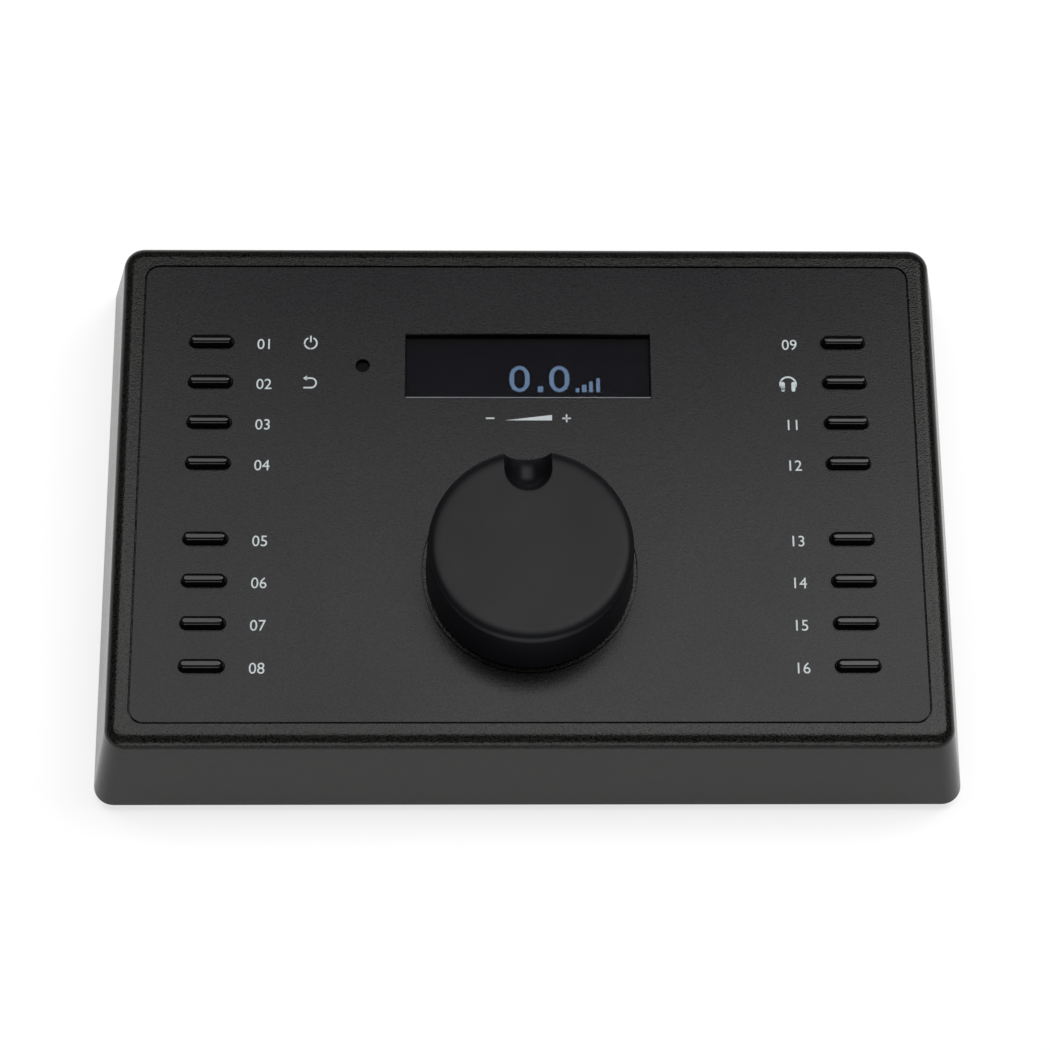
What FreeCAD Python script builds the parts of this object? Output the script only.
"""Desktop studio monitor controller: one drafted housing, 16 keys, a display and a volume knob.

Millimetres, +Z up.  The origin is the middle of the footprint at desk level.  The user sits at
-Y, the sockets face +Y, and +X is the user's right.  Every function below returns the shapes of
one sub-assembly by node name, and main() writes one STEP file per node.
"""

import FreeCAD, Part
import math
import os

V = FreeCAD.Vector
UP = V(0, 0, 1)
BACK = V(0, 1, 0)
PAST = 1.0                    # how far a tool runs past the face it opens or joins
OVERLAP = 0.5                 # shorter overlap of two thin shapes that are fused
NEAR = 0.1                    # margin when edges are picked by their place

# ---------------------------------------------------------------- housing
BASE_WIDTH = 190.0            # footprint at the lower edge
BASE_DEPTH = 127.0
HOUSING_HEIGHT = 28.0         # lower edge to the flat top
WALL_DRAFT = 10.4             # degrees, every outer wall leans inwards
WALL = 2.5                    # measured level
CORNER_RADIUS = 4.6
TOP_FILLET = 3.0
WEB = 1.5                     # skin under the control panel
LOWER_EDGE_BREAK = 0.4

# ---------------------------------------------------------------- control panel
RIM = 4.85                    # housing rim that stays visible round the panel
PANEL_GAP = 0.35              # shadow groove between rim and panel
PANEL_THICKNESS = 1.5
PANEL_CORNER = 3.0
PANEL_EDGE_BREAK = 0.12

# ---------------------------------------------------------------- keys
KEY_COUNT_IN_GROUP = 4
KEY_PITCH = 9.7
KEY_GROUP_STEP = 17.75        # last key of the rear group to first key of the front group
KEY_SIDE_MARGIN = 15.0        # panel edge to key column
KEY_REAR_MARGIN = 18.62       # panel rear edge to the first row
KEY_LENGTH = 9.9
KEY_WIDTH = 2.8
KEY_CLEARANCE = 0.1
KEY_PROUD = 2.3
KEY_LEAN = 0.34               # how far each side leans in from the panel to the top
KEY_CROWN = 0.7
KEY_FLANGE = 0.8              # how far the retaining flange stands out
KEY_FLANGE_THICKNESS = 0.8
KEY_FLANGE_GAP = 0.1
KEY_TRAVEL = 0.5

# ---------------------------------------------------------------- display and sensor
WINDOW_WIDTH = 54.0
WINDOW_HEIGHT = 15.35
WINDOW_REAR_MARGIN = 24.25    # panel rear edge to window centre
WINDOW_EDGE_BREAK = 0.2
LENS_LAP = 2.0                # glued border of the lens under the panel
LENS_THICKNESS = 1.0
LENS_CLEARANCE = 0.2
LENS_OPENING_CORNER = 0.8
GASKET_HEIGHT = 0.7
GASKET_RELIEF = 0.4
DISPLAY_BORDER = 3.2
DISPLAY_THICKNESS = 2.0
SENSOR_X = -36.55
SENSOR_RADIUS = 1.6
SENSOR_CLEARANCE = 0.1
SENSOR_RECESS = 1.2
SENSOR_FLANGE_RADIUS = 2.6
SENSOR_FLANGE_THICKNESS = 0.6
SENSOR_CHIP = (2.0, 2.0, 1.1)

# ---------------------------------------------------------------- volume knob and encoder
KNOB_FRONT_MARGIN = 34.2      # panel front edge to knob axis
KNOB_RADIUS = 22.4            # at the lower edge
KNOB_RIM_INSET = 0.65         # the wall leans in this much up to the top
KNOB_TOP = 16.5               # above the panel
KNOB_GAP = 0.8
KNOB_DOME_DROP = 0.33         # the top face falls this much towards its edge
KNOB_LEVEL_SHARE = 0.67       # share of the radius where the top face is level
KNOB_TOP_FILLET = 2.0
KNOB_LOWER_CHAMFER = 0.3
KNOB_WALL = 3.0
KNOB_HEAD = 10.5              # solid thickness under the top face
DIMPLE_HALF_WIDTH = 5.05      # at the top face
DIMPLE_TOOL_RADIUS = 5.8      # widest part of its elliptical section, above the top face
DIMPLE_DEPTH = 5.6
DIMPLE_REACH = 9.6            # in from the rim
DIMPLE_TURN = 1.6             # degrees off the rear direction at rest
ISLAND_RADIUS = 23.1          # housing seat that shows round the knob
ISLAND_GAP = 0.25
KNOB_HUB_RADIUS = 7.5
KNOB_HUB_DROP = 1.5
INSERT_RADIUS = 5.0
INSERT_HEIGHT = 6.5
SHAFT_RADIUS = 3.0
SHAFT_FLAT = 2.5              # axis to flat
SHAFT_ABOVE_BUSH = 7.3
SHAFT_FIT = 0.05
SHAFT_TOP_CHAMFER = 0.4
BUSH_RADIUS = 4.5
BUSH_RISE = 3.5               # above the island
NUT_ACROSS_FLATS = 12.0
NUT_THICKNESS = 2.0
WASHER_RADIUS = 7.0
WASHER_THICKNESS = 0.5
THREAD_FIT = 0.05
ENCODER_SIDE = 14.0
ENCODER_HEIGHT = 7.5
ENCODER_WALL_TOP = 1.5
ENCODER_FLOOR = 1.0
ENCODER_CAVITY_RADIUS = 5.8
ROTOR_RADIUS = 5.3
ROTOR_THICKNESS = 1.8
ROTOR_ABOVE_FLOOR = 1.4
DETENT_COUNT = 24
DETENT_DEPTH = 0.25
DETENT_RING_INNER = 4.5
DETENT_RING_THICKNESS = 0.35
CLIP_RADIUS = 4.2
CLIP_THICKNESS = 0.5
CLIP_GROOVE_RADIUS = 2.4
CLIP_BELOW_BUSH = 0.2
CLIP_MOUTH_HALF = 45.0        # degrees, half the angle that the open side leaves
DOME_RADIUS = 2.4
DOME_THICKNESS = 0.3
PUSH_TRAVEL = 0.5
PUSH_GAP = 0.1                # left between shaft and dome at full push

# ---------------------------------------------------------------- boards
BOARD_THICKNESS = 1.6
SWITCH_SIZE = (6.0, 3.6)
SWITCH_HEIGHT = 1.4
SWITCH_FLOOR = 0.3
SWITCH_TO_KEYCAP = 0.2        # left between switch and keycap at full press
PLUNGER_RADIUS = 1.0
PLUNGER_CLEARANCE = 0.08
PLUNGER_SPARE = 0.05          # left under the plunger at full press
PANEL_BOARD_OVERHANG = 6.0    # board edge outside the key columns
PANEL_BOARD_REAR = 7.5        # behind the first key row
PANEL_BOARD_FRONT = 6.5       # in front of the last key row
PANEL_BOSS_RADIUS = 2.9
PANEL_BOSS_X = 45.0
PANEL_BOSS_ROWS = (21.0, -5.0, -42.0)
ENCODER_CUTOUT_GAP = 0.5
MAIN_BOARD_SIDE_GAP = 14.5    # board edge to the inner wall at the lower edge
MAIN_BOARD_FRONT_GAP = 15.0
MAIN_BOARD_REAR_GAP = 0.5     # behind the rear panel's inner face
STANDOFF_HEIGHT = 4.0
STANDOFF_RADIUS = 3.0
STANDOFF_FLOOR = 0.5          # left under the blind bore
STANDOFF_INSET = 6.0          # from the board's sides
STANDOFF_ROWS = (-40.0, 17.0)
LINK_SIZE = (26.0, 5.0)
LINK_PLACE = (-28.0, 4.0)
LINK_SPLIT = 0.5              # share of the board gap that the lower half fills
CHIPS = {                     # centre x, centre y, width, depth, height
    "processor": (14.0, -4.0, 14.0, 14.0, 1.5),
    "converter_left": (-52.0, 8.0, 9.0, 9.0, 1.2),
    "converter_right": (-34.0, -18.0, 9.0, 9.0, 1.2),
    "memory": (34.0, -6.0, 8.0, 10.0, 1.1),
    "network_driver": (46.0, 18.0, 7.0, 7.0, 1.0),
}
CAPACITOR_RADIUS = 3.15
CAPACITOR_HEIGHT = 7.7
CAPACITOR_ROW = (52.0, -26.0)
CAPACITOR_PITCH = 8.5
CAPACITOR_COUNT = 3

# ---------------------------------------------------------------- base plate, feet and screws
FOOT_STAND = 2.5              # housing lower edge above the desk
FOOT_RADIUS = 6.0
FOOT_CHAMFER = 0.6
FOOT_INSET = (23.0, 17.5)     # from the footprint's edges
BASE_PLATE_THICKNESS = 1.5
BASE_PLATE_RECESS = 0.5
BASE_PLATE_GAP = 0.3
BASE_BOSS_RADIUS = 3.6
BASE_BOSS_INSET = (11.5, 12.0)
BOSS_RIB = 2.0
M3_RADIUS = 1.5
M3_HEAD_RADIUS = 2.75
M3_HEAD_HEIGHT = 1.8
M3_LENGTH = 8.0
M25_RADIUS = 1.25
M25_HEAD_RADIUS = 2.25
M25_HEAD_HEIGHT = 1.5
BOARD_SCREW_LENGTH = 4.6
PANEL_SCREW_LENGTH = 4.2
SCREW_FIT = 0.05
SCREW_PASS = 0.2              # radial clearance where a screw only passes
BORE_SPARE = 0.3              # bore left beyond a screw's end
HEAD_ROUNDING = 0.45          # share of a head's height
RECESS_ACROSS = 2.0           # cross recess in every head
RECESS_SLOT = 0.5
RECESS_DEPTH = 0.8

# ---------------------------------------------------------------- rear panel and sockets
REAR_PANEL_SETBACK = 1.4      # behind the housing wall where that is nearest
REAR_PANEL_THICKNESS = 1.0
REAR_PANEL_WIDTH = 158.0
REAR_PANEL_TOP_GAP = 0.3
REAR_PANEL_FOOT = 8.0
REAR_SCREW_X = (-52.0, 0.0, 52.0)
REAR_SCREW_INSET = 4.0
REAR_SCREW_LENGTH = 4.0
REAR_OPENING_WIDTH = 152.0
REAR_OPENING_SILL = 3.0
REAR_OPENING_HEAD = 1.5       # below the web
REAR_OPENING_CORNER = 2.0
SOCKET_FIT = 0.15
SOCKET_PROUD = 0.3
JACK_NAMES = ("headphone_jack", "line_out_right", "line_out_left", "line_in_right", "line_in_left")
JACK_FIRST_X = -1.5
JACK_PITCH = 16.5
JACK_BODY = (15.0, 28.0, 12.0)
JACK_NOSE_RADIUS = 4.75
JACK_NOSE_REACH = 3.2         # beyond the rear panel
JACK_BORE_RADIUS = 3.2
JACK_BORE_LENGTH = 30.5
JACK_MOUTH_CHAMFER = 0.5
JACK_NUT_ACROSS_FLATS = 12.7
JACK_NUT_THICKNESS = 2.0
COAX_X = (16.5, 29.0)
COAX_BODY = (10.0, 11.0, 12.0)
COAX_BARREL_RADIUS = 4.15
COAX_BARREL_WALL = 0.5
COAX_BARREL_FLANGE = 1.0
COAX_COLLAR_RADIUS = 4.9      # shoulder that fills the panel hole
COAX_COLLAR_PROUD = 0.3
COAX_REACH = 7.0
COAX_CORE_SHORT = 1.2         # insulator ends this far inside the barrel
COAX_PIN_RADIUS = 1.6
COAX_PIN_DEPTH = 9.0
NETWORK_X = 44.0
NETWORK_BODY = (16.0, 20.0, 11.6)
NETWORK_PORT = (11.8, 8.0)
NETWORK_PORT_DEPTH = 14.0
NETWORK_PORT_RISE = 1.6
NETWORK_LATCH = (6.2, 1.2)
USB_X = 58.5
USB_SHELL = (8.94, 7.4, 3.2)
USB_WALL = 0.3
USB_TONGUE = (6.6, 4.6, 0.7)
USB_FLOOR = 1.5
POWER_X = 69.0
POWER_BODY = (9.0, 14.0, 11.0)
POWER_BORE_RADIUS = 3.15
POWER_BORE_DEPTH = 9.5
POWER_PIN_RADIUS = 1.0
POWER_PIN_LENGTH = 8.5
POWER_AXIS_RISE = 6.4

# ---------------------------------------------------------------- levels that follow
DRAFT_RATIO = math.tan(math.radians(WALL_DRAFT))
LOWER_EDGE = FOOT_STAND
TOP = LOWER_EDGE + HOUSING_HEIGHT
WEB_TOP = TOP - PANEL_THICKNESS
WEB_UNDER = WEB_TOP - WEB
BASE_PLATE_UNDER = LOWER_EDGE + BASE_PLATE_RECESS
BASE_PLATE_TOP = BASE_PLATE_UNDER + BASE_PLATE_THICKNESS
MAIN_BOARD_UNDER = BASE_PLATE_TOP + STANDOFF_HEIGHT
MAIN_BOARD_TOP = MAIN_BOARD_UNDER + BOARD_THICKNESS
KEY_UNDER = WEB_UNDER - KEY_FLANGE_GAP - KEY_FLANGE_THICKNESS
SWITCH_TOP = KEY_UNDER - KEY_TRAVEL - SWITCH_TO_KEYCAP
PANEL_BOARD_TOP = SWITCH_TOP - SWITCH_HEIGHT
PANEL_BOARD_UNDER = PANEL_BOARD_TOP - BOARD_THICKNESS
PLUNGER_UNDER = PANEL_BOARD_TOP + SWITCH_FLOOR + PLUNGER_SPARE + KEY_TRAVEL
LENS_UNDER = WEB_TOP - LENS_THICKNESS
DISPLAY_TOP = LENS_UNDER - GASKET_HEIGHT
DISPLAY_UNDER = DISPLAY_TOP - DISPLAY_THICKNESS
KNOB_UNDER = TOP + KNOB_GAP
KNOB_FACE = TOP + KNOB_TOP
KNOB_HOLLOW_TOP = KNOB_FACE - KNOB_HEAD
HUB_UNDER = KNOB_HOLLOW_TOP - KNOB_HUB_DROP
BUSH_TOP = TOP + BUSH_RISE
SHAFT_TOP = BUSH_TOP + SHAFT_ABOVE_BUSH
ENCODER_UNDER = WEB_UNDER - ENCODER_HEIGHT
CAVITY_FLOOR = ENCODER_UNDER + ENCODER_FLOOR
CAVITY_ROOF = WEB_UNDER - ENCODER_WALL_TOP
SHAFT_UNDER = CAVITY_FLOOR + DOME_THICKNESS + PUSH_TRAVEL + PUSH_GAP
JACK_AXIS = MAIN_BOARD_TOP + JACK_BODY[2] / 2

# ---------------------------------------------------------------- plan places that follow
TOP_INSET = HOUSING_HEIGHT * DRAFT_RATIO
PANEL_WIDTH = BASE_WIDTH - 2 * (TOP_INSET + RIM)
PANEL_DEPTH = BASE_DEPTH - 2 * (TOP_INSET + RIM)
KEY_COLUMN_X = PANEL_WIDTH / 2 - KEY_SIDE_MARGIN
FIRST_ROW_Y = PANEL_DEPTH / 2 - KEY_REAR_MARGIN
WINDOW_Y = PANEL_DEPTH / 2 - WINDOW_REAR_MARGIN
KNOB_Y = KNOB_FRONT_MARGIN - PANEL_DEPTH / 2
WALL_INSIDE_AT_WEB = BASE_DEPTH / 2 - WALL - (WEB_UNDER - LOWER_EDGE) * DRAFT_RATIO
REAR_FACE_Y = WALL_INSIDE_AT_WEB - REAR_PANEL_SETBACK
REAR_INSIDE_Y = REAR_FACE_Y - REAR_PANEL_THICKNESS
MAIN_BOARD_REAR_Y = REAR_INSIDE_Y - MAIN_BOARD_REAR_GAP
MAIN_BOARD_FRONT_Y = -(BASE_DEPTH / 2 - WALL - MAIN_BOARD_FRONT_GAP)
MAIN_BOARD_HALF_WIDTH = BASE_WIDTH / 2 - WALL - MAIN_BOARD_SIDE_GAP
JACK_PLACES = {name: JACK_FIRST_X - i * JACK_PITCH for i, name in enumerate(JACK_NAMES)}


def key_rows():
    """Rear to front, the y of every key row."""
    rear = [FIRST_ROW_Y - i * KEY_PITCH for i in range(KEY_COUNT_IN_GROUP)]
    front = [rear[-1] - KEY_GROUP_STEP - i * KEY_PITCH for i in range(KEY_COUNT_IN_GROUP)]
    return rear + front


def key_places():
    """Node name to (x, y): keys 1 to 8 down the left column, 9 to 16 down the right."""
    places = {}
    for column, x in enumerate((-KEY_COLUMN_X, KEY_COLUMN_X)):
        for row, y in enumerate(key_rows()):
            places["key_%02d" % (column * 2 * KEY_COUNT_IN_GROUP + row + 1)] = (x, y)
    return places


# ---------------------------------------------------------------- shape helpers
def block(width, depth, height, x, y, z):
    """Box centred on (x, y) that stands on z."""
    return Part.makeBox(width, depth, height, V(x - width / 2, y - depth / 2, z))


def slab(x0, x1, y0, y1, z0, z1):
    """Box between limits."""
    return Part.makeBox(x1 - x0, y1 - y0, z1 - z0, V(x0, y0, z0))


def rod(radius, z0, z1, x=0.0, y=0.0):
    """Upright cylinder."""
    return Part.makeCylinder(radius, z1 - z0, V(x, y, z0), UP)


def rearward_rod(radius, x, y0, y1, z):
    """Cylinder along +Y."""
    return Part.makeCylinder(radius, y1 - y0, V(x, y0, z), BACK)


def rounded_block(width, depth, radius, z0, z1, x=0.0, y=0.0):
    """Box with rounded upright corners."""
    body = block(width, depth, z1 - z0, x, y, z0)
    upright = [e for e in body.Edges if abs(e.Vertexes[0].Z - e.Vertexes[1].Z) > (z1 - z0) / 2]
    return body.makeFillet(radius, upright)


def pill(length, width, z0, z1, x=0.0, y=0.0):
    """Upright prism with two straight sides and round ends."""
    reach = (length - width) / 2
    return (block(2 * reach, width, z1 - z0, x, y, z0)
            .fuse(rod(width / 2, z0, z1, x - reach, y))
            .fuse(rod(width / 2, z0, z1, x + reach, y))
            .removeSplitter())


def leaning_pill(length, width, lean, z0, z1, x=0.0, y=0.0):
    """Pill whose sides and ends lean in evenly towards its top."""
    reach, half = (length - width) / 2, width / 2
    ring = [V(x - reach, y - half, z0), V(x - reach, y + half, z0),
            V(x - reach, y + half - lean, z1), V(x - reach, y - half + lean, z1),
            V(x - reach, y - half, z0)]
    body = Part.Face(Part.makePolygon(ring)).extrude(V(2 * reach, 0, 0))
    for side in (-1, 1):
        body = body.fuse(Part.makeCone(half, half - lean, z1 - z0, V(x + side * reach, y, z0), UP))
    return body.removeSplitter()


def hexagon(across_flats, thickness):
    """Upright hexagonal prism on z = 0 about the Z axis."""
    corner = across_flats / math.sqrt(3)
    ring = [V(corner * math.cos(math.radians(60 * i)), corner * math.sin(math.radians(60 * i)), 0)
            for i in range(7)]
    return Part.Face(Part.makePolygon(ring)).extrude(V(0, 0, thickness))


def facing_back(shape, x, y, z):
    """Turn an upright shape so that its +Z looks along +Y, and put its origin at (x, y, z)."""
    turned = shape.copy()
    turned.rotate(V(0, 0, 0), V(1, 0, 0), -90)
    turned.translate(V(x, y, z))
    return turned


def edges_at(shape, z, tolerance=1e-4):
    """Edges that lie wholly at one level."""
    return [e for e in shape.Edges
            if abs(e.BoundBox.ZMin - z) < tolerance and abs(e.BoundBox.ZMax - z) < tolerance]


def drafted_block(inset, z0, z1, corner):
    """Solid bounded by walls parallel to the outer ones, moved in by inset, with round corners."""
    def corners(z):
        half_x = BASE_WIDTH / 2 - inset - (z - LOWER_EDGE) * DRAFT_RATIO
        half_y = BASE_DEPTH / 2 - inset - (z - LOWER_EDGE) * DRAFT_RATIO
        return [V(-half_x, -half_y, z), V(half_x, -half_y, z), V(half_x, half_y, z),
                V(-half_x, half_y, z)]

    low, high = corners(z0), corners(z1)
    faces = [low[::-1], high]
    for i in range(4):
        j = (i + 1) % 4
        faces.append([low[i], low[j], high[j], high[i]])
    shell = Part.Shell([Part.Face(Part.makePolygon(f + f[:1])) for f in faces])
    body = Part.Solid(shell)
    slanted = [e for e in body.Edges if abs(e.Vertexes[0].Z - e.Vertexes[1].Z) > (z1 - z0) / 2]
    return body.makeFillet(corner, slanted)


def machine_screw(radius, length, head_radius, head_height):
    """Pan head screw: the head's underside at z = 0, its shank upwards, recess from below."""
    head = rod(head_radius, -head_height, 0)
    head = head.makeFillet(head_height * HEAD_ROUNDING, edges_at(head, -head_height))
    recess = block(RECESS_ACROSS, RECESS_SLOT, RECESS_DEPTH, 0, 0, -head_height)
    recess = recess.fuse(block(RECESS_SLOT, RECESS_ACROSS, RECESS_DEPTH, 0, 0, -head_height))
    return head.cut(recess).fuse(rod(radius, 0, length)).removeSplitter()


def placed(shape, x, y, z, upside_down=False):
    """Copy of a shape at a place, turned over first if asked."""
    copy = shape.copy()
    if upside_down:
        copy.rotate(V(0, 0, 0), V(1, 0, 0), 180)
    copy.translate(V(x, y, z))
    return copy


def cut_all(shape, tools):
    """Cut many tools from one shape."""
    for tool in tools:
        shape = shape.cut(tool)
    return shape


def fuse_all(shape, additions):
    """Fuse many shapes to one."""
    for addition in additions:
        shape = shape.fuse(addition)
    return shape.removeSplitter()


# ---------------------------------------------------------------- places shared by several parts
def base_boss_places():
    """Six bosses: two columns, three rows."""
    x = BASE_WIDTH / 2 - BASE_BOSS_INSET[0]
    y = BASE_DEPTH / 2 - BASE_BOSS_INSET[1]
    return [(side * x, row * y) for side in (-1, 1) for row in (-1, 0, 1)]


def panel_boss_places():
    """Bosses under the web that carry the panel board."""
    return [(side * PANEL_BOSS_X, y) for side in (-1, 1) for y in PANEL_BOSS_ROWS]


def standoff_places():
    """Spacers between base plate and main board."""
    x = MAIN_BOARD_HALF_WIDTH - STANDOFF_INSET
    return [(column * x, y) for column in (-1, 0, 1) for y in STANDOFF_ROWS]


def foot_places():
    """Four feet near the corners."""
    x = BASE_WIDTH / 2 - FOOT_INSET[0]
    y = BASE_DEPTH / 2 - FOOT_INSET[1]
    return [(side * x, end * y) for side in (-1, 1) for end in (-1, 1)]


def rear_screw_places():
    """Screws through the base plate into the rear panel's foot."""
    y = REAR_INSIDE_Y - REAR_SCREW_INSET
    return [(x, y) for x in REAR_SCREW_X]


def key_slots(z0, z1):
    """Slots for all keys, between two levels."""
    length = KEY_LENGTH + 2 * KEY_CLEARANCE
    width = KEY_WIDTH + 2 * KEY_CLEARANCE
    return [pill(length, width, z0, z1, x, y) for x, y in key_places().values()]


# ---------------------------------------------------------------- enclosure
def top_housing():
    """Drafted shell with a pocket for the panel, bosses inside and an opening at the rear."""
    outer = drafted_block(0, LOWER_EDGE, TOP, CORNER_RADIUS)
    outer = outer.makeFillet(TOP_FILLET, edges_at(outer, TOP))
    outer = outer.makeChamfer(LOWER_EDGE_BREAK, edges_at(outer, LOWER_EDGE))
    hollow = drafted_block(WALL, LOWER_EDGE - PAST, WEB_UNDER, CORNER_RADIUS - WALL)
    shell = outer.cut(hollow)

    bosses = []
    for x, y in base_boss_places():
        bosses.append(rod(BASE_BOSS_RADIUS, BASE_PLATE_TOP, WEB_UNDER + WEB / 2, x, y))
        reach = math.copysign(BASE_BOSS_INSET[0], x)
        rib = slab(min(x, x + reach), max(x, x + reach), y - BOSS_RIB / 2, y + BOSS_RIB / 2,
                   BASE_PLATE_TOP, WEB_UNDER + WEB / 2)
        bosses.append(rib.common(outer))
    for x, y in panel_boss_places():
        bosses.append(rod(PANEL_BOSS_RADIUS, PANEL_BOARD_TOP, WEB_UNDER + WEB / 2, x, y))
    shell = fuse_all(shell, bosses)

    pocket = rounded_block(PANEL_WIDTH + 2 * PANEL_GAP, PANEL_DEPTH + 2 * PANEL_GAP,
                           PANEL_CORNER + PANEL_GAP, WEB_TOP, TOP + PAST)
    cuts = [pocket.cut(rod(ISLAND_RADIUS, WEB_TOP - PAST, TOP + 2 * PAST, 0, KNOB_Y))]
    cuts += key_slots(WEB_UNDER - PAST, WEB_TOP + PAST)
    cuts.append(rounded_block(WINDOW_WIDTH + 2 * (LENS_LAP + LENS_CLEARANCE),
                              WINDOW_HEIGHT + 2 * (LENS_LAP + LENS_CLEARANCE),
                              LENS_OPENING_CORNER, WEB_UNDER - PAST, WEB_TOP + PAST, 0, WINDOW_Y))
    cuts.append(rod(SENSOR_RADIUS, WEB_UNDER - PAST, WEB_TOP + PAST, SENSOR_X, WINDOW_Y))
    cuts.append(rod(BUSH_RADIUS + THREAD_FIT, WEB_UNDER - PAST, TOP + PAST, 0, KNOB_Y))
    for x, y in base_boss_places():
        bore_top = BASE_PLATE_UNDER + M3_LENGTH + BORE_SPARE
        cuts.append(rod(M3_RADIUS + SCREW_FIT, BASE_PLATE_TOP - PAST, bore_top, x, y))
    for x, y in panel_boss_places():
        bore_top = PANEL_BOARD_UNDER + PANEL_SCREW_LENGTH + BORE_SPARE
        cuts.append(rod(M25_RADIUS + SCREW_FIT, PANEL_BOARD_TOP - PAST, bore_top, x, y))

    sill = LOWER_EDGE + REAR_OPENING_SILL
    opening = rounded_block(REAR_OPENING_WIDTH, WEB_UNDER - REAR_OPENING_HEAD - sill,
                            REAR_OPENING_CORNER, 0, BASE_DEPTH / 2 - REAR_FACE_Y + PAST)
    middle = (WEB_UNDER - REAR_OPENING_HEAD + sill) / 2
    cuts.append(facing_back(opening, 0, REAR_FACE_Y, middle))
    return cut_all(shell, cuts)


def control_panel():
    """Flush face plate with the key slots, the window, the sensor hole and the knob ring."""
    plate = rounded_block(PANEL_WIDTH, PANEL_DEPTH, PANEL_CORNER, WEB_TOP, TOP)
    plate = plate.makeChamfer(PANEL_EDGE_BREAK, edges_at(plate, TOP))
    window = block(WINDOW_WIDTH, WINDOW_HEIGHT, PANEL_THICKNESS + 2 * PAST, 0, WINDOW_Y,
                   WEB_TOP - PAST)
    plate = plate.cut(window)
    rim = [e for e in edges_at(plate, TOP) if abs(e.CenterOfMass.x) < WINDOW_WIDTH / 2 + NEAR
           and abs(e.CenterOfMass.y - WINDOW_Y) < WINDOW_HEIGHT / 2 + NEAR]
    plate = plate.makeChamfer(WINDOW_EDGE_BREAK, rim)
    cuts = key_slots(WEB_TOP - PAST, TOP + PAST)
    cuts.append(rod(SENSOR_RADIUS, WEB_TOP - PAST, TOP + PAST, SENSOR_X, WINDOW_Y))
    cuts.append(rod(ISLAND_RADIUS + ISLAND_GAP, WEB_TOP - PAST, TOP + PAST, 0, KNOB_Y))
    return cut_all(plate, cuts)


def base_plate():
    """Steel plate that closes the housing from below."""
    inset = WALL + BASE_PLATE_GAP + (BASE_PLATE_TOP - LOWER_EDGE) * DRAFT_RATIO
    plate = rounded_block(BASE_WIDTH - 2 * inset, BASE_DEPTH - 2 * inset, CORNER_RADIUS - WALL,
                          BASE_PLATE_UNDER, BASE_PLATE_TOP)
    holes = [rod(M3_RADIUS + SCREW_PASS, BASE_PLATE_UNDER - PAST, BASE_PLATE_TOP + PAST, x, y)
             for x, y in base_boss_places() + rear_screw_places()]
    return cut_all(plate, holes)


def rear_panel():
    """Steel angle: an upright face with the socket holes and a foot on the base plate."""
    top = WEB_UNDER - REAR_PANEL_TOP_GAP
    half = REAR_PANEL_WIDTH / 2
    upright = slab(-half, half, REAR_INSIDE_Y, REAR_FACE_Y, BASE_PLATE_TOP, top)
    foot = slab(-half, half, REAR_INSIDE_Y - REAR_PANEL_FOOT, REAR_INSIDE_Y,
                BASE_PLATE_TOP, BASE_PLATE_TOP + REAR_PANEL_THICKNESS)
    panel = fuse_all(upright, [foot])
    y0, y1 = REAR_INSIDE_Y - PAST, REAR_FACE_Y + PAST
    cuts = [rearward_rod(JACK_NOSE_RADIUS + SOCKET_FIT, x, y0, y1, JACK_AXIS)
            for x in JACK_PLACES.values()]
    cuts += [rearward_rod(COAX_COLLAR_RADIUS + SOCKET_FIT, x, y0, y1, JACK_AXIS) for x in COAX_X]
    for x, size in ((NETWORK_X, NETWORK_BODY), (USB_X, USB_SHELL), (POWER_X, POWER_BODY)):
        cuts.append(slab(x - size[0] / 2 - SOCKET_FIT, x + size[0] / 2 + SOCKET_FIT, y0, y1,
                         MAIN_BOARD_TOP - SOCKET_FIT, MAIN_BOARD_TOP + size[2] + SOCKET_FIT))
    cuts += [rod(M3_RADIUS + SCREW_FIT, BASE_PLATE_TOP - PAST,
                 BASE_PLATE_TOP + REAR_PANEL_THICKNESS + PAST, x, y)
             for x, y in rear_screw_places()]
    return cut_all(panel, cuts)


def rubber_feet():
    """Four round feet glued under the base plate."""
    foot = rod(FOOT_RADIUS, 0, BASE_PLATE_UNDER)
    foot = foot.makeChamfer(FOOT_CHAMFER, edges_at(foot, 0))
    return [placed(foot, x, y, 0) for x, y in foot_places()]


# ---------------------------------------------------------------- keys and switches
def key(x, y):
    """Keycap with a rounded crown and a retaining flange, and the switch plunger below it."""
    crown_top = TOP + KEY_PROUD
    cap = leaning_pill(KEY_LENGTH, KEY_WIDTH, KEY_LEAN, TOP, crown_top, x, y)
    cap = cap.makeFillet(KEY_CROWN, edges_at(cap, crown_top))
    flange = pill(KEY_LENGTH + 2 * KEY_FLANGE, KEY_WIDTH + 2 * KEY_FLANGE, KEY_UNDER,
                  KEY_UNDER + KEY_FLANGE_THICKNESS, x, y)
    stem = pill(KEY_LENGTH, KEY_WIDTH, KEY_UNDER, TOP, x, y)
    return [fuse_all(cap, [stem, flange]), rod(PLUNGER_RADIUS, PLUNGER_UNDER, KEY_UNDER, x, y)]


def tact_switches():
    """One switch body under every key, with a blind hole for the plunger."""
    bodies = []
    for x, y in key_places().values():
        body = block(SWITCH_SIZE[0], SWITCH_SIZE[1], SWITCH_HEIGHT, x, y, PANEL_BOARD_TOP)
        bodies.append(body.cut(rod(PLUNGER_RADIUS + PLUNGER_CLEARANCE,
                                   PANEL_BOARD_TOP + SWITCH_FLOOR, SWITCH_TOP + PAST, x, y)))
    return bodies


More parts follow.
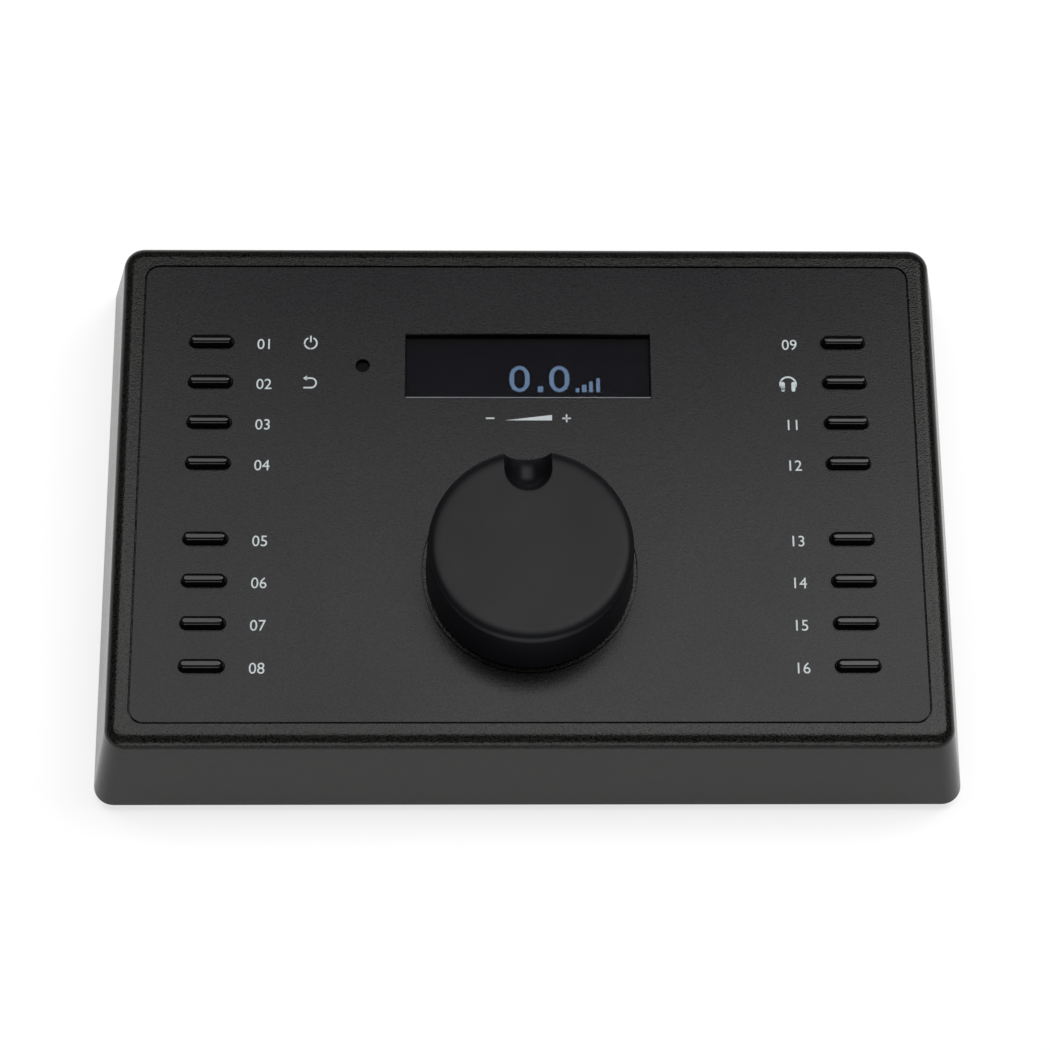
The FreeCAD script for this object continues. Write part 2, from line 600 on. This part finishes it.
# ---------------------------------------------------------------- display and sensor
def display_parts():
    """Lens under the panel, gasket frame, display glass and the pad that presses it up."""
    lens = block(WINDOW_WIDTH + 2 * LENS_LAP, WINDOW_HEIGHT + 2 * LENS_LAP, LENS_THICKNESS,
                 0, WINDOW_Y, LENS_UNDER)
    gasket = block(WINDOW_WIDTH + 2 * LENS_LAP, WINDOW_HEIGHT + 2 * LENS_LAP, GASKET_HEIGHT,
                   0, WINDOW_Y, DISPLAY_TOP)
    gasket = gasket.cut(block(WINDOW_WIDTH + 2 * GASKET_RELIEF, WINDOW_HEIGHT + 2 * GASKET_RELIEF,
                              GASKET_HEIGHT + 2 * PAST, 0, WINDOW_Y, DISPLAY_TOP - PAST))
    glass = block(WINDOW_WIDTH + 2 * DISPLAY_BORDER, WINDOW_HEIGHT + 2 * DISPLAY_BORDER,
                  DISPLAY_THICKNESS, 0, WINDOW_Y, DISPLAY_UNDER)
    pad = block(WINDOW_WIDTH, WINDOW_HEIGHT, DISPLAY_UNDER - PANEL_BOARD_TOP, 0, WINDOW_Y,
                PANEL_BOARD_TOP)
    return {"display_window": lens, "display_gasket": gasket, "display_module": glass,
            "display_pad": pad}


def sensor_parts():
    """Smoked light guide glued in the web, and the sensor chip below it."""
    guide = rod(SENSOR_RADIUS - SENSOR_CLEARANCE, WEB_UNDER, TOP - SENSOR_RECESS,
                SENSOR_X, WINDOW_Y)
    flange = rod(SENSOR_FLANGE_RADIUS, WEB_UNDER - SENSOR_FLANGE_THICKNESS, WEB_UNDER,
                 SENSOR_X, WINDOW_Y)
    chip = block(*SENSOR_CHIP, SENSOR_X, WINDOW_Y, PANEL_BOARD_TOP)
    return {"sensor_lens": fuse_all(guide, [flange]), "sensor_chip": chip}


# ---------------------------------------------------------------- volume knob and encoder
def knob_blank():
    """Solid of the knob on the Z axis: leaning wall and a top face that domes gently."""
    rim, edge = KNOB_RADIUS - KNOB_RIM_INSET, KNOB_FACE - KNOB_DOME_DROP
    level = rim * KNOB_LEVEL_SHARE
    sweep = ((rim - level) ** 2 + KNOB_DOME_DROP ** 2) / (2 * KNOB_DOME_DROP)
    half = math.asin((rim - level) / sweep) / 2
    middle = V(level + sweep * math.sin(half), 0, KNOB_FACE - sweep * (1 - math.cos(half)))
    foot, low = V(0, 0, KNOB_UNDER), V(KNOB_RADIUS, 0, KNOB_UNDER)
    high, inner, crown = V(rim, 0, edge), V(level, 0, KNOB_FACE), V(0, 0, KNOB_FACE)
    outline = [Part.makeLine(foot, low), Part.makeLine(low, high),
               Part.Arc(high, middle, inner).toShape(),
               Part.makeLine(inner, crown), Part.makeLine(crown, foot)]
    half_section = Part.Face(Part.Wire(outline))
    half_section.rotate(V(0, 0, 0), V(0, 0, 1), -90)
    return half_section.revolve(V(0, 0, 0), V(0, 0, 1), 360)


def rim_edges(knob):
    """Edges of the blank's outer wall at the top face and round the dimple's mouth."""
    edge = KNOB_FACE - KNOB_DOME_DROP
    slope = KNOB_RIM_INSET / (edge - KNOB_UNDER)
    found = []
    for item in knob.Edges:
        span = item.LastParameter - item.FirstParameter
        points = [item.valueAt(item.FirstParameter + span * i / 4) for i in range(5)]
        if all(p.z > edge - DIMPLE_DEPTH - PAST
               and abs(math.hypot(p.x, p.y) - KNOB_RADIUS + (p.z - KNOB_UNDER) * slope) < NEAR
               for p in points):
            found.append(item)
    return found


def dimple_scoop():
    """Cutter of the dimple: a deep elliptical groove that runs out of the rim, round inside."""
    share = math.sqrt(1 - (DIMPLE_HALF_WIDTH / DIMPLE_TOOL_RADIUS) ** 2)
    tall = DIMPLE_DEPTH / (1 - share)
    top = V(0, 0, KNOB_FACE + share * tall)
    bottom, side = top - V(0, 0, tall), top + V(DIMPLE_TOOL_RADIUS, 0, 0)
    ellipse = Part.Ellipse(bottom, side, top)
    start = KNOB_RADIUS - KNOB_RIM_INSET - DIMPLE_REACH + DIMPLE_HALF_WIDTH
    quarter = [Part.Arc(ellipse, 0, math.pi / 2).toShape(),
               Part.makeLine(side, top), Part.makeLine(top, bottom)]
    end = Part.Face(Part.Wire(quarter)).revolve(V(0, 0, 0), V(0, 0, 1), 360)
    half = [Part.Arc(ellipse, -math.pi / 2, math.pi / 2).toShape(),
            Part.makeLine(side, side - V(2 * DIMPLE_TOOL_RADIUS, 0, 0))]
    groove = Part.Face(Part.Wire(half)).extrude(V(0, KNOB_RADIUS + PAST - start, 0))
    scoop = end.fuse(groove)
    scoop.translate(V(0, start, 0))
    scoop.rotate(V(0, 0, 0), V(0, 0, 1), DIMPLE_TURN)
    return scoop


def volume_knob():
    """Turned knob, hollow below, with a finger dimple at its rear edge."""
    knob = knob_blank().cut(dimple_scoop()).removeSplitter()
    knob = knob.makeFillet(KNOB_TOP_FILLET, rim_edges(knob))
    knob = knob.makeChamfer(KNOB_LOWER_CHAMFER, edges_at(knob, KNOB_UNDER))
    knob.translate(V(0, KNOB_Y, 0))
    hollow = rod(KNOB_RADIUS - KNOB_WALL, KNOB_UNDER - PAST, KNOB_HOLLOW_TOP, 0, KNOB_Y)
    hub = rod(KNOB_HUB_RADIUS, HUB_UNDER, KNOB_HOLLOW_TOP + PAST, 0, KNOB_Y)
    knob = knob.cut(hollow.cut(hub))
    knob = knob.cut(rod(INSERT_RADIUS, HUB_UNDER - PAST, HUB_UNDER + INSERT_HEIGHT, 0, KNOB_Y))
    return knob


def flatted_rod(radius, flat, z0, z1):
    """Upright rod on the knob axis with one flat towards the front."""
    body = rod(radius, z0, z1, 0, KNOB_Y)
    return body.cut(block(2 * radius + 2 * PAST, 2 * radius, z1 - z0 + 2 * PAST, 0,
                          KNOB_Y - flat - radius, z0 - PAST))


def encoder_parts():
    """Encoder from the knob's insert down to the push dome."""
    insert = rod(INSERT_RADIUS, HUB_UNDER, HUB_UNDER + INSERT_HEIGHT, 0, KNOB_Y)
    insert = insert.cut(flatted_rod(SHAFT_RADIUS + SHAFT_FIT, SHAFT_FLAT + SHAFT_FIT,
                                    HUB_UNDER - PAST, HUB_UNDER + INSERT_HEIGHT + PAST))

    clip_top = CAVITY_ROOF - CLIP_BELOW_BUSH
    clip_under = clip_top - CLIP_THICKNESS
    shaft = rod(SHAFT_RADIUS, clip_under, BUSH_TOP, 0, KNOB_Y)
    shaft = shaft.fuse(flatted_rod(SHAFT_RADIUS, SHAFT_FLAT, SHAFT_UNDER, clip_under))
    tip = flatted_rod(SHAFT_RADIUS, SHAFT_FLAT, BUSH_TOP, SHAFT_TOP)
    tip = tip.makeChamfer(SHAFT_TOP_CHAMFER, edges_at(tip, SHAFT_TOP))
    shaft = shaft.fuse(tip).removeSplitter()
    groove = rod(SHAFT_RADIUS + PAST, clip_under, clip_top, 0, KNOB_Y)
    shaft = shaft.cut(groove.cut(rod(CLIP_GROOVE_RADIUS, clip_under, clip_top, 0, KNOB_Y)))
    clip = rod(CLIP_RADIUS, clip_under, clip_top, 0, KNOB_Y)
    clip = clip.cut(rod(CLIP_GROOVE_RADIUS, clip_under - PAST, clip_top + PAST, 0, KNOB_Y))
    mouth = 2 * CLIP_GROOVE_RADIUS * math.cos(math.radians(CLIP_MOUTH_HALF))
    clip = clip.cut(block(mouth, CLIP_RADIUS + PAST, CLIP_THICKNESS + 2 * PAST, 0,
                          KNOB_Y + (CLIP_RADIUS + PAST) / 2, clip_under - PAST))

    rotor_under = CAVITY_FLOOR + ROTOR_ABOVE_FLOOR
    rotor_top = rotor_under + ROTOR_THICKNESS
    rotor = rod(ROTOR_RADIUS, rotor_under, rotor_top, 0, KNOB_Y)
    rotor = rotor.cut(flatted_rod(SHAFT_RADIUS + SHAFT_FIT, SHAFT_FLAT + SHAFT_FIT,
                                  rotor_under - PAST, rotor_top + PAST))
    notches = []
    for i in range(DETENT_COUNT):
        angle = math.radians(360.0 * i / DETENT_COUNT)
        notches.append(rod(DETENT_DEPTH, rotor_under - PAST, rotor_top + PAST,
                           ROTOR_RADIUS * math.cos(angle),
                           KNOB_Y + ROTOR_RADIUS * math.sin(angle)))
    rotor = cut_all(rotor, notches)

    body = block(ENCODER_SIDE, ENCODER_SIDE, ENCODER_HEIGHT, 0, KNOB_Y, ENCODER_UNDER)
    body = body.cut(rod(ENCODER_CAVITY_RADIUS, CAVITY_FLOOR, CAVITY_ROOF, 0, KNOB_Y))
    body = body.cut(rod(BUSH_RADIUS, CAVITY_ROOF - PAST, WEB_UNDER + PAST, 0, KNOB_Y))
    ring = rod(ENCODER_CAVITY_RADIUS, CAVITY_ROOF - DETENT_RING_THICKNESS, CAVITY_ROOF, 0, KNOB_Y)
    ring = ring.cut(rod(DETENT_RING_INNER, CAVITY_ROOF - PAST, CAVITY_ROOF + PAST, 0, KNOB_Y))
    dome = rod(DOME_RADIUS, CAVITY_FLOOR, CAVITY_FLOOR + DOME_THICKNESS, 0, KNOB_Y)

    bush = rod(BUSH_RADIUS, CAVITY_ROOF, BUSH_TOP, 0, KNOB_Y)
    bush = bush.cut(rod(SHAFT_RADIUS + SHAFT_FIT, CAVITY_ROOF - PAST, BUSH_TOP + PAST, 0, KNOB_Y))
    bore = rod(BUSH_RADIUS + THREAD_FIT, TOP - PAST, BUSH_TOP + PAST, 0, KNOB_Y)
    washer = rod(WASHER_RADIUS, TOP, TOP + WASHER_THICKNESS, 0, KNOB_Y).cut(bore)
    nut = placed(hexagon(NUT_ACROSS_FLATS, NUT_THICKNESS), 0, KNOB_Y, TOP + WASHER_THICKNESS)
    return {"knob_insert": insert, "encoder_shaft": shaft, "shaft_clip": clip,
            "encoder_rotor": rotor, "encoder_body": body, "detent_ring": ring, "push_dome": dome,
            "encoder_bushing": bush, "encoder_washer": washer, "encoder_nut": nut.cut(bore)}


# ---------------------------------------------------------------- boards
def panel_board():
    """Board under the web, with a cut-out round the encoder."""
    rows = key_rows()
    half = KEY_COLUMN_X + PANEL_BOARD_OVERHANG
    board = slab(-half, half, rows[-1] - PANEL_BOARD_FRONT, rows[0] + PANEL_BOARD_REAR,
                 PANEL_BOARD_UNDER, PANEL_BOARD_TOP)
    side = ENCODER_SIDE + 2 * ENCODER_CUTOUT_GAP
    cuts = [block(side, side, BOARD_THICKNESS + 2 * PAST, 0, KNOB_Y, PANEL_BOARD_UNDER - PAST)]
    cuts += [rod(M25_RADIUS + SCREW_PASS, PANEL_BOARD_UNDER - PAST, PANEL_BOARD_TOP + PAST, x, y)
             for x, y in panel_boss_places()]
    return cut_all(board, cuts)


def main_board():
    """Board on the standoffs that carries every rear socket."""
    board = slab(-MAIN_BOARD_HALF_WIDTH, MAIN_BOARD_HALF_WIDTH, MAIN_BOARD_FRONT_Y,
                 MAIN_BOARD_REAR_Y, MAIN_BOARD_UNDER, MAIN_BOARD_TOP)
    holes = [rod(M25_RADIUS + SCREW_PASS, MAIN_BOARD_UNDER - PAST, MAIN_BOARD_TOP + PAST, x, y)
             for x, y in standoff_places()]
    return cut_all(board, holes)


def board_standoffs():
    """Round spacers swaged into the base plate."""
    spacer = rod(STANDOFF_RADIUS, BASE_PLATE_TOP, MAIN_BOARD_UNDER)
    spacer = spacer.cut(rod(M25_RADIUS + SCREW_FIT, BASE_PLATE_TOP + STANDOFF_FLOOR,
                            MAIN_BOARD_UNDER + PAST))
    return [placed(spacer, x, y, 0) for x, y in standoff_places()]


def board_chips():
    """Packages and capacitors on the main board."""
    parts = [block(width, depth, height, x, y, MAIN_BOARD_TOP)
             for x, y, width, depth, height in CHIPS.values()]
    for i in range(CAPACITOR_COUNT):
        parts.append(rod(CAPACITOR_RADIUS, MAIN_BOARD_TOP, MAIN_BOARD_TOP + CAPACITOR_HEIGHT,
                         CAPACITOR_ROW[0] - i * CAPACITOR_PITCH, CAPACITOR_ROW[1]))
    return parts


def board_link():
    """Stacking connector between the boards, in two mating halves."""
    split = MAIN_BOARD_TOP + (PANEL_BOARD_UNDER - MAIN_BOARD_TOP) * LINK_SPLIT
    lower = block(*LINK_SIZE, split - MAIN_BOARD_TOP, *LINK_PLACE, MAIN_BOARD_TOP)
    upper = block(*LINK_SIZE, PANEL_BOARD_UNDER - split, *LINK_PLACE, split)
    return [lower, upper]


def screw_groups():
    """Every screw, grouped by what it holds."""
    case = machine_screw(M3_RADIUS, M3_LENGTH, M3_HEAD_RADIUS, M3_HEAD_HEIGHT)
    short = machine_screw(M3_RADIUS, REAR_SCREW_LENGTH, M3_HEAD_RADIUS, M3_HEAD_HEIGHT)
    board = machine_screw(M25_RADIUS, BOARD_SCREW_LENGTH, M25_HEAD_RADIUS, M25_HEAD_HEIGHT)
    panel = machine_screw(M25_RADIUS, PANEL_SCREW_LENGTH, M25_HEAD_RADIUS, M25_HEAD_HEIGHT)
    return {
        "base_screws": [placed(case, x, y, BASE_PLATE_UNDER) for x, y in base_boss_places()],
        "rear_screws": [placed(short, x, y, BASE_PLATE_UNDER) for x, y in rear_screw_places()],
        "board_screws": [placed(board, x, y, MAIN_BOARD_TOP, True) for x, y in standoff_places()],
        "panel_screws": [placed(panel, x, y, PANEL_BOARD_UNDER) for x, y in panel_boss_places()],
    }


# ---------------------------------------------------------------- rear sockets
def phone_jack(x):
    """Quarter inch jack socket: a moulded body, a threaded nose and one blind bore."""
    width, length, height = JACK_BODY
    tip = REAR_FACE_Y + JACK_NOSE_REACH
    body = slab(x - width / 2, x + width / 2, REAR_INSIDE_Y - length, REAR_INSIDE_Y,
                MAIN_BOARD_TOP, MAIN_BOARD_TOP + height)
    body = body.fuse(rearward_rod(JACK_NOSE_RADIUS, x, REAR_INSIDE_Y - PAST, tip, JACK_AXIS))
    bore = rearward_rod(JACK_BORE_RADIUS, x, tip - JACK_BORE_LENGTH, tip + PAST, JACK_AXIS)
    mouth = Part.makeCone(JACK_BORE_RADIUS + JACK_MOUTH_CHAMFER, JACK_BORE_RADIUS,
                          JACK_MOUTH_CHAMFER)
    mouth.rotate(V(0, 0, 0), V(1, 0, 0), 90)
    mouth.translate(V(x, tip, JACK_AXIS))
    return body.cut(bore).cut(mouth).removeSplitter()


def jack_nuts():
    """Hexagon nuts that clamp the jack noses to the rear panel."""
    nut = hexagon(JACK_NUT_ACROSS_FLATS, JACK_NUT_THICKNESS)
    nut = nut.cut(rod(JACK_NOSE_RADIUS + THREAD_FIT, -PAST, JACK_NUT_THICKNESS + PAST))
    return [facing_back(nut, x, REAR_FACE_Y, JACK_AXIS) for x in JACK_PLACES.values()]


def coax_parts():
    """Two coaxial sockets: moulded bodies with an insulating core, and plated barrels."""
    width, length, height = COAX_BODY
    tip = REAR_FACE_Y + COAX_REACH
    inner = COAX_BARREL_RADIUS - COAX_BARREL_WALL
    bodies, barrels = [], []
    for x in COAX_X:
        face = REAR_INSIDE_Y - COAX_BARREL_FLANGE
        body = slab(x - width / 2, x + width / 2, face - length, face,
                    MAIN_BOARD_TOP, MAIN_BOARD_TOP + height)
        body = body.fuse(rearward_rod(inner, x, face - PAST, tip - COAX_CORE_SHORT, JACK_AXIS))
        pin_hole = rearward_rod(COAX_PIN_RADIUS, x, tip - COAX_CORE_SHORT - COAX_PIN_DEPTH,
                                tip + PAST, JACK_AXIS)
        bodies.append(body.cut(pin_hole).removeSplitter())
        flange = slab(x - width / 2, x + width / 2, face, REAR_INSIDE_Y,
                      MAIN_BOARD_TOP, MAIN_BOARD_TOP + height)
        collar = rearward_rod(COAX_COLLAR_RADIUS, x, REAR_INSIDE_Y - OVERLAP,
                              REAR_FACE_Y + COAX_COLLAR_PROUD, JACK_AXIS)
        barrel = fuse_all(flange, [collar, rearward_rod(COAX_BARREL_RADIUS, x, REAR_FACE_Y, tip,
                                                        JACK_AXIS)])
        barrels.append(barrel.cut(rearward_rod(inner, x, face - PAST, tip + PAST, JACK_AXIS)))
    return {"coax_bodies": bodies, "coax_barrels": barrels}


def socket_block(x, size):
    """Rectangular socket body that passes through the rear panel."""
    front = REAR_FACE_Y + SOCKET_PROUD
    return slab(x - size[0] / 2, x + size[0] / 2, front - size[1], front,
                MAIN_BOARD_TOP, MAIN_BOARD_TOP + size[2])


def network_socket():
    """Eight-way modular socket with the latch notch at the top."""
    front = REAR_FACE_Y + SOCKET_PROUD
    floor = MAIN_BOARD_TOP + NETWORK_PORT_RISE
    roof = floor + NETWORK_PORT[1]
    port = slab(NETWORK_X - NETWORK_PORT[0] / 2, NETWORK_X + NETWORK_PORT[0] / 2,
                front - NETWORK_PORT_DEPTH, front + PAST, floor, roof)
    latch = slab(NETWORK_X - NETWORK_LATCH[0] / 2, NETWORK_X + NETWORK_LATCH[0] / 2,
                 front - NETWORK_PORT_DEPTH, front + PAST, roof - OVERLAP, roof + NETWORK_LATCH[1])
    return socket_block(NETWORK_X, NETWORK_BODY).cut(port.fuse(latch))


def usb_socket():
    """Oval shell, 8.94 by 3.2, with a floor inside and a contact tongue."""
    width, length, height = USB_SHELL
    outer = pill(width, height, 0, length)
    inner = pill(width - 2 * USB_WALL, height - 2 * USB_WALL, USB_FLOOR, length + PAST)
    tongue = block(USB_TONGUE[0], USB_TONGUE[2], USB_TONGUE[1], 0, 0, USB_FLOOR - OVERLAP)
    shell = fuse_all(outer.cut(inner), [tongue])
    front = REAR_FACE_Y + SOCKET_PROUD
    return facing_back(shell, USB_X, front - length, MAIN_BOARD_TOP + height / 2)


def power_inlet():
    """Barrel inlet with its centre pin."""
    front = REAR_FACE_Y + SOCKET_PROUD
    axis = MAIN_BOARD_TOP + POWER_AXIS_RISE
    floor = front - POWER_BORE_DEPTH
    body = socket_block(POWER_X, POWER_BODY)
    body = body.cut(rearward_rod(POWER_BORE_RADIUS, POWER_X, floor, front + PAST, axis))
    pin = rearward_rod(POWER_PIN_RADIUS, POWER_X, floor - OVERLAP, floor + POWER_PIN_LENGTH, axis)
    return fuse_all(body, [pin])


def main():
    """Build every node and write its STEP file."""
    nodes = {
        "top_housing": top_housing(),
        "control_panel": control_panel(),
        "base_plate": base_plate(),
        "rear_panel": rear_panel(),
        "rubber_feet": rubber_feet(),
        "volume_knob": volume_knob(),
        "tact_switches": tact_switches(),
        "panel_board": panel_board(),
        "main_board": main_board(),
        "board_standoffs": board_standoffs(),
        "board_chips": board_chips(),
        "board_link": board_link(),
        "jack_nuts": jack_nuts(),
        "network_socket": network_socket(),
        "usb_socket": usb_socket(),
        "power_inlet": power_inlet(),
    }
    nodes.update({name: key(x, y) for name, (x, y) in key_places().items()})
    nodes.update({name: phone_jack(x) for name, x in JACK_PLACES.items()})
    nodes.update(display_parts())
    nodes.update(sensor_parts())
    nodes.update(encoder_parts())
    nodes.update(coax_parts())
    nodes.update(screw_groups())

    os.makedirs("parts", exist_ok=True)
    for name, shape in nodes.items():
        if isinstance(shape, list):
            shape = Part.makeCompound(shape)
        shape.exportStep("parts/%s.step" % name)
        box = shape.BoundBox
        print("%-18s solids %2d valid %s volume %9.1f  x %6.1f %6.1f  y %6.1f %6.1f  z %5.1f %5.1f"
              % (name, len(shape.Solids), shape.isValid(), shape.Volume,
                 box.XMin, box.XMax, box.YMin, box.YMax, box.ZMin, box.ZMax))
    print("nodes", len(nodes))


main()
